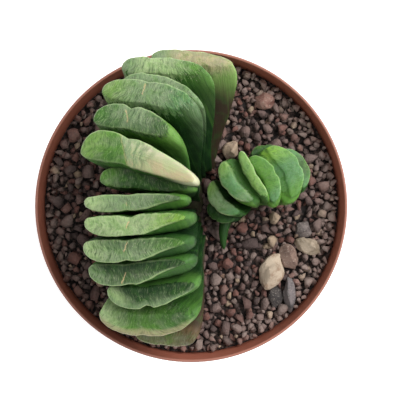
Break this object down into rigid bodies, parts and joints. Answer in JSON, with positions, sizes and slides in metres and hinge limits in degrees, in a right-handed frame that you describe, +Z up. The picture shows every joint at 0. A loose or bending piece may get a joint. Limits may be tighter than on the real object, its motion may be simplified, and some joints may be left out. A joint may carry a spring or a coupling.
{
  "type": "potted haworthia",
  "caption": "Round flared nursery pot filled with mineral grit, with a two-ranked fan of thick, flat-topped succulent leaves and a small offset beside it.",
  "frame": {"origin": "centre of the pot's foot, on the surface that the pot stands on", "axes": "+Z up; the big fan of leaves runs along Y and leans to -X, and the offset stands on its +X side"},
  "size_m": [0.09, 0.09, 0.1088],
  "materials": {
    "pot_plastic": "red-brown, thin and slightly glossy",
    "grit": "mauve-brown mineral grains, dry and matte",
    "pebble": "larger cream, tan and grey stones, matte",
    "leaf": "fleshy green leaf with a pale, finely wrinkled window, satin",
    "pup_leaf": "fleshy young leaf, brighter green, satin",
    "stem": "dark olive, in deep shade, matte"
  },
  "bodies": {
    "root": {"main_stem": "stem", "leaf_centre": "leaf", "leaf_lower_1": "leaf", "leaf_upper_1": "leaf", "leaf_lower_2": "leaf", "leaf_upper_2": "leaf", "leaf_lower_3": "leaf", "leaf_upper_3": "leaf", "leaf_lower_4": "leaf", "leaf_upper_4": "leaf", "leaf_lower_5": "leaf", "leaf_upper_5": "leaf", "leaf_lower_6": "leaf", "leaf_upper_6": "leaf", "leaf_lower_7": "leaf", "pup_stem": "stem", "pup_leaf_centre": "pup_leaf", "pup_leaf_west_1": "pup_leaf", "pup_leaf_east_1": "pup_leaf", "pup_leaf_west_2": "pup_leaf", "pup_leaf_east_2": "pup_leaf", "pup_leaf_west_3": "pup_leaf", "pup_leaf_east_3": "pup_leaf", "pup_leaf_north": "pup_leaf", "pup_leaf_spike": "pup_leaf", "pot": "pot_plastic", "stone_cream": "pebble", "stone_tan": "pebble", "stone_sand": "pebble", "stone_slate": "pebble", "stone_grey": "pebble", "stone_pale": "pebble", "stone_red": "pebble", "stone_dark": "pebble", "grit": "grit"}
  },
  "joints": []
}
